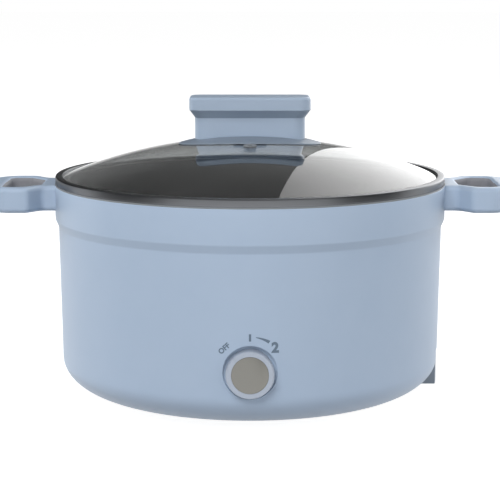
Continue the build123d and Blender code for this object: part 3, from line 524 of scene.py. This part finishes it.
def stands_for(piece, node, material=None):
    """A finished piece rides with its node's body, takes its slot and hides the node."""
    dress(piece, material or FINISH[NODE_SLOT[node]])
    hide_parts(node)
    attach(piece, NODE_BODY[node])
    return piece


def refined(node, name, angle):
    """A copy of a CAD node with its loose triangles merged and its curves shaded smooth."""
    start_object_work()
    mesh = frame["nodes"][node].data.copy()
    piece = bpy.data.objects.new(name, mesh)
    mesh.name = name
    bpy.context.scene.collection.objects.link(piece)
    take(piece)
    bpy.ops.mesh.customdata_custom_splitnormals_clear()
    bpy.ops.object.mode_set(mode="EDIT")
    bpy.ops.mesh.select_all(action="SELECT")
    bpy.ops.mesh.remove_doubles(threshold=0.001 * MM)
    bpy.ops.object.mode_set(mode="OBJECT")
    smooth(piece, angle)
    return piece


# ------------------------------------------------------------------ casing
shell_low, shell_high = box_mm("outer_shell")
FOOT = shell_low.z                # lower edge of the casing
RIM = shell_high.z                # upper edge
BAND_RADIUS = shell_high.x
BAND_LOW = RIM - 26.0             # upper end of the step
STEP_LOW = BAND_LOW - 6.0         # lower end of the step
WAIST_RADIUS = BAND_RADIUS - 2.5
WALL_RADIUS = WAIST_RADIUS - 1.6  # at the top of the lower corner
CORNER_REACH, CORNER_RISE = 37.0, 25.0
WALL = 2.8
FLOOR_RADIUS = WALL_RADIUS - CORNER_REACH
CORNER_TOP = FOOT + CORNER_RISE
OPENING = 144.5                   # radius of the hole in the rim
LIP_RADIUS = 94.0                 # inner edge of the bottom lip that carries the cover
LIP_LOW, LIP_HIGH = 6.5, 9.3      # its two faces
CORNER_STEPS = 14


def corner(reach, rise):
    """Quarter of an ellipse from the flat underside up to the wall, as outline points."""
    turns = [i / CORNER_STEPS * pi / 2 for i in range(CORNER_STEPS + 1)]
    return [
        (FLOOR_RADIUS + reach * sin(turn), CORNER_TOP - rise * cos(turn)) for turn in turns
    ]


outside = corner(CORNER_REACH, CORNER_RISE)
inside = corner(CORNER_REACH - WALL, CORNER_RISE - WALL)
casing_outline = [
    *outside,
    (WAIST_RADIUS, STEP_LOW),
    (BAND_RADIUS, BAND_LOW),
    (BAND_RADIUS, RIM),
    (OPENING, RIM),
    (OPENING, RIM - WALL),
    (BAND_RADIUS - WALL, RIM - WALL),
    (BAND_RADIUS - WALL, BAND_LOW),
    (WAIST_RADIUS - WALL, STEP_LOW),
    *reversed(inside),
    (FLOOR_RADIUS, LIP_HIGH),
    (LIP_RADIUS, LIP_HIGH),
    (LIP_RADIUS, LIP_LOW),
    (FLOOR_RADIUS - WALL, LIP_LOW),
    (FLOOR_RADIUS - WALL, FOOT),
]
casing = turned("casing", casing_outline, segments=256)
round_rings(casing, [(WAIST_RADIUS, STEP_LOW), (BAND_RADIUS, BAND_LOW)], 0.8, 5)
round_rings(casing, [(BAND_RADIUS, RIM)], 1.0, 5)
round_rings(casing, [(OPENING, RIM)], 0.4, 3)

DIAL_HEIGHT = 46.3
RECESS_FACE = 143.37              # pot axis to the floor of the dial recess
RECESS_RADIUS = 19.3
RECESS_RISE = 0.7                 # it sits high, so that no gap shows under the knob
PAD_RADIUS = 22.5                 # thicker wall round the floor of the recess
PAD_FRONT, PAD_BEHIND = 0.8, 2.5  # how far it reaches on either side of the floor
SHAFT_HOLE = 4.6
INLET_HALF, INLET_TOP = 30.1, 36.1
INLET_CUT = (112.0, 160.0)        # along X, through the whole wall
CUT_DEPTH = 12.0                  # length of the rods that cut the wall
LYING = (pi / 2, 0, 0)
pad_depth = PAD_FRONT + PAD_BEHIND
pad_middle = (0, (PAD_BEHIND - PAD_FRONT) / 2 - RECESS_FACE, DIAL_HEIGHT)
recess_middle = (0, -RECESS_FACE - CUT_DEPTH / 2, DIAL_HEIGHT + RECESS_RISE)
cut(casing, rod(PAD_RADIUS, pad_depth, pad_middle, LYING, vertices=128), "UNION")
cut(casing, rod(RECESS_RADIUS, CUT_DEPTH, recess_middle, LYING, vertices=160))
cut(casing, rod(SHAFT_HOLE, CUT_DEPTH, (0, -RECESS_FACE, DIAL_HEIGHT), LYING, vertices=48))
cut(casing, block((INLET_CUT[0], -INLET_HALF, -10.0), (INLET_CUT[1], INLET_HALF, INLET_TOP)))
smooth(casing, 28)
stands_for(casing, "outer_shell")

# ------------------------------------------------------------------ handles
HOLE_NEAR, HOLE_MIDDLE, HOLE_FAR = 160.0, 175.0, 189.5  # the finger hole along X
HOLE_HALF = 31.0
# the faces that look into the finger hole take the dull grey
for node in ("handle_left", "handle_right"):
    loop = stands_for(refined(node, node.replace("handle", "grip_loop"), 35), node)
    loop.data.materials.append(HOLE_GREY)
    for face in loop.data.polygons:
        middle, out = face.center / MM, face.normal
        beside = HOLE_NEAR < abs(middle.x) < HOLE_FAR and abs(middle.y) < HOLE_HALF
        hole_x = HOLE_MIDDLE if middle.x > 0 else -HOLE_MIDDLE
        inward = out.x * (hole_x - middle.x) - out.y * middle.y > 0
        if beside and inward and abs(out.z) < 0.7:
            face.material_index = 1

# ------------------------------------------------------------------ pan and its seal
SEAL_INNER = 145.0
seal_low, seal_high = box_mm("rim_gasket")
# the seal laps over the rounded edge of the casing, where its grey is painted shade for the
# contact shade on that edge
seal_outline = [
    (SEAL_INNER, seal_low.z),
    (BAND_RADIUS - 1.2, seal_low.z),
    (BAND_RADIUS - 0.3, RIM - 0.6),
    (BAND_RADIUS - 0.1, RIM - 0.2),
    (BAND_RADIUS - 0.3, seal_high.z),
    (SEAL_INNER, seal_high.z),
]
rim_seal = turned("rim_seal", seal_outline, segments=256)
smooth(rim_seal, 30)
stands_for(rim_seal, "rim_gasket", RIM_SILICONE)

_, pan_high = box_mm("inner_pot")
PAN_TOP, PAN_EDGE = pan_high.z, pan_high.x
pan = stands_for(refined("inner_pot", "cooking_pan", 30), "inner_pot")
pan.data.materials.append(BARE_EDGE_PAINTED_LIGHT)
# the outer edge of the flange takes the paler steel, partly painted light
for face in pan.data.polygons:
    middle = face.center / MM
    if sqrt(middle.x**2 + middle.y**2) > PAN_EDGE - 0.6:
        face.material_index = 1

# ------------------------------------------------------------------ lid
_, glass_high = box_mm("lid_glass")
ring_low, ring_high = box_mm("lid_ring")
RING_TOP, RING_FOOT, RING_RADIUS = ring_high.z, ring_low.z, ring_high.x
RING_UNDERSIDE = RING_TOP - 3.5
RING_INNER = RING_RADIUS - 5.5    # where the ring meets the glass
SKIRT_INNER, SKIRT_OUTER = 138.8, 140.0
DOME_TOP = glass_high.z
GLASS_EDGE = glass_high.x
# The pane is 1.4 mm here: at its full 4 mm it would bend the far half of the lid out of sight.
PANE = 1.4
PANE_STEPS = 40                   # rings from the screw's hole to the edge
SCREW_HOLE = 2.7
VENT_REACH, VENT_RADIUS = 37.0, 3.5
crown = DOME_TOP - RING_TOP + 1.7  # rise of the dome over the inner edge of the ring
DOME_RADIUS = (RING_INNER**2 + crown**2) / (2 * crown)
DOME_CENTRE = DOME_TOP - DOME_RADIUS


def dome(reach, radius=DOME_RADIUS):
    """Height of the glass at a distance from the pot axis, by the radius of its face."""
    return DOME_CENTRE + sqrt(radius**2 - reach**2)


reaches = [
    SCREW_HOLE + (GLASS_EDGE - SCREW_HOLE) * i / PANE_STEPS for i in range(PANE_STEPS + 1)
]
glass_outline = [(reach, dome(reach)) for reach in reaches]
glass_outline += [(reach, dome(reach, DOME_RADIUS - PANE)) for reach in reversed(reaches)]
lid_pane = turned("lid_pane", glass_outline, segments=192)
vent_middle = (0, -VENT_REACH, dome(VENT_REACH) - 2)
vent_lean = (asin(VENT_REACH / DOME_RADIUS), 0, 0)
cut(lid_pane, rod(VENT_RADIUS, 16, vent_middle, vent_lean, vertices=64))
smooth(lid_pane, 40)
stands_for(lid_pane, "lid_glass")


def quarter(reach, height, radius, first):
    """Rounded corner of the ring about a centre: five points over 90 degrees from first."""
    turns = [radians(first + 22.5 * i) for i in range(5)]
    return [(reach + radius * cos(turn), height + radius * sin(turn)) for turn in turns]


# the outer edge of the ring is folded down over the rounded edge of the pan's flange
ring_outline = [
    (SKIRT_INNER, RING_FOOT),
    (SKIRT_OUTER, RING_FOOT),
    (SKIRT_OUTER, PAN_TOP + 0.05),
    (PAN_EDGE + 0.05, PAN_TOP + 0.05),
    (PAN_EDGE + 0.05, PAN_TOP - 0.8),
    (RING_RADIUS, PAN_TOP - 0.8),
    *quarter(RING_RADIUS - 1.2, RING_TOP - 1.2, 1.2, 0),
    *quarter(RING_INNER + 0.4, RING_TOP - 0.4, 0.4, 90),
    (RING_INNER, dome(RING_INNER) + 0.02),
    (GLASS_EDGE + 0.02, dome(GLASS_EDGE) + 0.02),
    (GLASS_EDGE + 0.02, RING_UNDERSIDE + 0.2),
    (SKIRT_INNER, RING_UNDERSIDE + 0.2),
]
rolled_rim = turned("rolled_rim", ring_outline, segments=256)
smooth(rolled_rim, 35)
stands_for(rolled_rim, "lid_ring")
# the side that faces the pan is lined with the dark silicone of the lid's seal
rolled_rim.data.materials.append(SILICONE)
for face in rolled_rim.data.polygons:
    middle, out = face.center / MM, face.normal
    if middle.x * out.x + middle.y * out.y < -0.1 and middle.z < RING_UNDERSIDE + 0.5:
        face.material_index = 1
stands_for(refined("vent_eyelet", "steam_eyelet", 35), "vent_eyelet", RIM_SILICONE)

# ------------------------------------------------------------------ knob of the lid
KNOB_FOOT_LONG, KNOB_FOOT_WIDE = 55.0, 31.0  # half axes of the oval foot
KNOB_FOOT_HOLE = 9.0              # under the neck, for its screw
PAD_ROOM = 18.5                   # room over the silicone pad: its radius
# radius along the short axis and height over the glass: the foot thins towards its edge
foot_outline = [
    (KNOB_FOOT_HOLE, 1.8),
    (PAD_ROOM, 1.8),
    (PAD_ROOM, 0.05),
    (KNOB_FOOT_WIDE - 0.6, 0.05),
    (KNOB_FOOT_WIDE, 0.35),
    (KNOB_FOOT_WIDE - 0.15, 0.8),
    (KNOB_FOOT_WIDE - 0.7, 1.15),
    (28.0, 1.7),
    (25.0, 2.3),
    (21.5, 2.75),
    (17.0, 3.0),
    (KNOB_FOOT_HOLE, 3.0),
]
knob_foot = turned("knob_foot", foot_outline, segments=160)
for vertex in knob_foot.data.vertices:
    vertex.co.x *= KNOB_FOOT_LONG / KNOB_FOOT_WIDE
    vertex.co.z += dome(sqrt(vertex.co.x**2 + vertex.co.y**2) / MM) * MM
smooth(knob_foot, 50)
# the foot's darker grey is painted shade
stands_for(knob_foot, "lid_base", FOOT_PAINTED_SHADE)

knob_bar = refined("lid_grip", "knob_bar", 30)
neck_low, _ = box_mm("lid_grip")
# the neck reaches down through the foot
for vertex in knob_bar.data.vertices:
    if vertex.co.z / MM < neck_low.z + 0.01:
        vertex.co.z = (DOME_TOP + 0.4) * MM
stands_for(knob_bar, "lid_grip")

# ------------------------------------------------------------------ control knob
stands_for(refined("knob_body", "dial_ring", 35), "knob_body")
stands_for(refined("knob_cap", "dial_disc", 35), "knob_cap")


# ------------------------------------------------------------------ dial marks
def wall_reach(height):
    """Radius of the outer face of the wall at a height, both in mm."""
    share = (height - CORNER_TOP) / (STEP_LOW - CORNER_TOP)
    return WALL_RADIUS + (WAIST_RADIUS - WALL_RADIUS) * share


INK_THICKNESS = 0.06


def print_on_wall(piece):
    """Wraps a flat mark, drawn in the XZ plane of the dial, onto the round wall."""
    front = max(vertex.co.y for vertex in piece.data.vertices)
    for vertex in piece.data.vertices:
        x, z = vertex.co.x / MM, vertex.co.z / MM
        lift = INK_THICKNESS if vertex.co.y < front - 0.001 * MM else -INK_THICKNESS
        reach = wall_reach(z) + lift
        turn = x / reach
        vertex.co.x = reach * sin(turn) * MM
        vertex.co.y = -reach * cos(turn) * MM


def mark_text(name, words, angle, ring, size, lean=0, bold=0.04):
    """A word or a number as a thin printed film, at an angle and a distance in mm from the
    middle of the dial, with a height in mm and a lean in degrees."""
    start_object_work()
    across = ring * sin(radians(angle))
    up = DIAL_HEIGHT + ring * cos(radians(angle))
    bpy.ops.object.text_add()
    text = bpy.context.active_object
    text.data.body = words
    text.data.size = size * MM
    text.data.align_x = "CENTER"
    text.data.align_y = "CENTER"
    text.data.extrude = 0.2 * MM
    text.data.offset = bold * size * MM
    text.data.resolution_u = 4
    bpy.ops.object.convert(target="MESH")
    piece = bpy.context.active_object
    piece.name = piece.data.name = name
    piece.rotation_euler = (pi / 2, radians(lean), 0)
    piece.location = (across * MM, -wall_reach(up) * MM, up * MM)
    bpy.ops.object.transform_apply(location=True, rotation=True, scale=True)
    bpy.ops.object.mode_set(mode="EDIT")
    bpy.ops.mesh.select_all(action="SELECT")
    bpy.ops.mesh.remove_doubles(threshold=0.001 * MM)
    bpy.ops.mesh.quads_convert_to_tris()
    bpy.ops.object.mode_set(mode="OBJECT")
    print_on_wall(piece)
    return piece


def mark_sweep(name, start, end, ring, thin, thick):
    """A printed arc round the dial that widens from its start to its end, angles in degrees."""
    start_object_work()
    bpy.ops.mesh.primitive_cube_add(size=1)
    piece = bpy.context.active_object
    piece.name = piece.data.name = name
    piece.scale = (1, 0.4 * MM, 1)
    bpy.ops.object.transform_apply(scale=True)
    bpy.ops.object.mode_set(mode="EDIT")
    bpy.ops.mesh.select_all(action="SELECT")
    bpy.ops.mesh.subdivide(number_cuts=15)
    bpy.ops.object.mode_set(mode="OBJECT")
    for vertex in piece.data.vertices:
        share = vertex.co.x + 0.5
        angle = radians(start + (end - start) * share)
        reach = ring + vertex.co.z * (thin + (thick - thin) * share)
        vertex.co.x = reach * sin(angle) * MM
        vertex.co.z = (DIAL_HEIGHT + reach * cos(angle)) * MM
    print_on_wall(piece)
    return piece


marks = [
    mark_text("mark_off", "OFF", -45.4, 25.4, 5.2, -43),
    mark_text("mark_low", "1", 0, 25.6, 6.2, bold=0.08),
    mark_sweep("mark_rise", 9, 31, 26.4, 0.5, 2.4),
    mark_text("mark_high", "2", 43.9, 25.5, 10.0, bold=0.05),
]
for mark in marks:
    dress(mark, INK)
    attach(mark, "pot")


# ------------------------------------------------------------------ studio
def stage_sheet(name, corners, material, only_mirrored=False):
    """A flat sheet through four corners in metres, as part of the studio."""
    start_object_work()
    bpy.ops.mesh.primitive_plane_add(size=1)
    sheet = bpy.context.active_object
    sheet.name = sheet.data.name = name
    # the corners go round the sheet, its vertices go row by row
    for vertex, index in zip(sheet.data.vertices, (0, 1, 3, 2)):
        vertex.co = corners[index]
    dress(sheet, material)
    if only_mirrored:
        sheet.visible_camera = False
        sheet.visible_diffuse = False
        sheet.visible_shadow = False
        sheet.visible_transmission = False


def seen_directly(material):
    """1 to the camera, in mirrors and through glass, 0 to the light that the studio sheds."""
    path = add_node(material, "ShaderNodeLightPath")
    seen = path.outputs["Is Camera Ray"]
    for other in ("Is Glossy Ray", "Is Transmission Ray"):
        either = add_node(
            material,
            "ShaderNodeMath",
            {"operation": "MAXIMUM"},
            {0: seen, 1: path.outputs[other]},
        )
        seen = either.outputs[0]
    return seen


def floor_material():
    """Matt white sweep: full white where it is seen, apart from the soft shadow of the pot."""
    material = empty_material("white_sweep")
    lift = add_node(
        material,
        "ShaderNodeMath",
        {"operation": "MULTIPLY", 1: 0.93},
        {0: seen_directly(material)},
    )
    cloth = add_node(material, "ShaderNodeBsdfDiffuse", {"Color": (0.42, 0.42, 0.42, 1)})
    glow = add_node(
        material, "ShaderNodeEmission", {"Color": (1, 1, 1, 1)}, {"Strength": lift.outputs[0]}
    )
    both = add_node(
        material, "ShaderNodeAddShader", links={0: cloth.outputs[0], 1: glow.outputs[0]}
    )
    return finished(material, both)


FLAG_EDGE = 0.305                 # where the flags end and the softbox begins, along X
FLAG_TOP = 0.9                    # where the black flag ends and the grey one begins
BACK, HIGH, WIDE = 2.5, 5.0, 4.0  # how far behind, how high and how wide the sheets reach


def card_material(name, near, far, along=(1, 0, 0), first=FLAG_EDGE, last=FLAG_EDGE + 0.8):
    """A glowing card: its strength goes from near to far between two places along a line."""
    material, place = new_material(name)
    run = add_node(
        material, "ShaderNodeVectorMath", {"operation": "DOT_PRODUCT", 1: along}, {0: place}
    )
    strength = add_node(
        material,
        "ShaderNodeMapRange",
        {"From Min": first, "From Max": last, "To Min": near, "To Max": far},
        {"Value": run.outputs["Value"]},
    )
    glow = add_node(
        material,
        "ShaderNodeEmission",
        {"Color": (1, 1, 1, 1)},
        {"Strength": strength.outputs["Result"]},
    )
    return finished(material, glow)


def back_sheet(name, left, right, low, high, material):
    """An upright sheet behind the pot, seen only as a reflection in the glass."""
    corners = [(left, BACK, low), (right, BACK, low), (right, BACK, high), (left, BACK, high)]
    stage_sheet(name, corners, material, only_mirrored=True)


stage_sheet("floor", [(-12, -12, 0), (12, -12, 0), (12, 12, 0), (-12, 12, 0)], floor_material())
black_velvet = card_material("black_velvet", 0.5, 0.02, (0, 0, 1), 0.3, 0.44)
back_sheet("black_flag", -WIDE, FLAG_EDGE, 0.2, FLAG_TOP, black_velvet)
grey_velvet = card_material("grey_velvet", 0.02, 0.2, (1, 0, 1), 1.1, 2.2)
back_sheet("grey_flag", -WIDE, FLAG_EDGE, FLAG_TOP, HIGH, grey_velvet)
back_sheet("softbox", FLAG_EDGE, 3.4, 0.0, HIGH, card_material("softbox_cloth", 1.75, 3.2))

grey_felt = card_material("grey_felt", 0.08, 0.08)
for side in (-1, 1):
    # dark flags at the front corners, which darken the rim and the wall to either side
    stage_sheet(
        "corner_flag_left" if side < 0 else "corner_flag_right",
        [
            (side * 0.56, -0.56, 0.0),
            (side * 0.8, 0.0, 0.0),
            (side * 0.8, 0.0, 0.7),
            (side * 0.56, -0.56, 0.7),
        ],
        grey_felt,
        only_mirrored=True,
    )

world = bpy.data.worlds.new("studio")
world.use_nodes = True
world.node_tree.nodes.clear()
direction = add_node(world, "ShaderNodeTexCoord").outputs["Object"]
rise = add_node(world, "ShaderNodeSeparateXYZ", links={"Vector": direction}).outputs["Z"]


def room_level(side, overhead):
    """Level of the room, which fades from the sides to the ceiling."""
    fade = add_node(
        world,
        "ShaderNodeMapRange",
        {"From Min": 0.15, "From Max": 0.65, "To Min": side, "To Max": overhead},
        {"Value": rise},
    )
    return fade.outputs["Result"]


sky_level = add_node(
    world,
    "ShaderNodeMapRange",
    links={
        "Value": seen_directly(world),
        "To Min": room_level(0.55, 0.05),
        "To Max": room_level(1.0, 0.35),
    },
)
sky = add_node(
    world,
    "ShaderNodeBackground",
    {"Color": (1, 1, 1, 1)},
    {"Strength": sky_level.outputs["Result"]},
)
add_node(world, "ShaderNodeOutputWorld", links={"Surface": sky.outputs[0]})
bpy.context.scene.world = world


LAMP_AIM = (0, 0, 0.1)


def soft_lamp(name, place, size, power):
    """A square area lamp at a place in metres, turned to the middle of the pot."""
    data = bpy.data.lights.new(name, "AREA")
    data.shape = "SQUARE"
    data.size = size
    data.energy = power
    lamp = bpy.data.objects.new(name, data)
    lamp.location = place
    dx, dy, dz = (a - p for a, p in zip(LAMP_AIM, place))
    lamp.rotation_euler = (atan2(sqrt(dx * dx + dy * dy), -dz), 0, atan2(dy, dx) - pi / 2)
    lamp.visible_glossy = False
    bpy.context.scene.collection.objects.link(lamp)


soft_lamp("key", (-0.9, -2.1, 2.4), 1.6, 75)
soft_lamp("fill", (2.0, -2.0, 0.8), 1.6, 12)
soft_lamp("low_front", (0.3, -2.6, 0.2), 1.0, 6)
soft_lamp("edge_left", (-2.3, 0.7, 0.8), 1.2, 24)
soft_lamp("edge_right", (2.3, 0.7, 0.8), 1.2, 26)

bpy.context.scene.view_settings.view_transform = "Standard"

start_object_work()
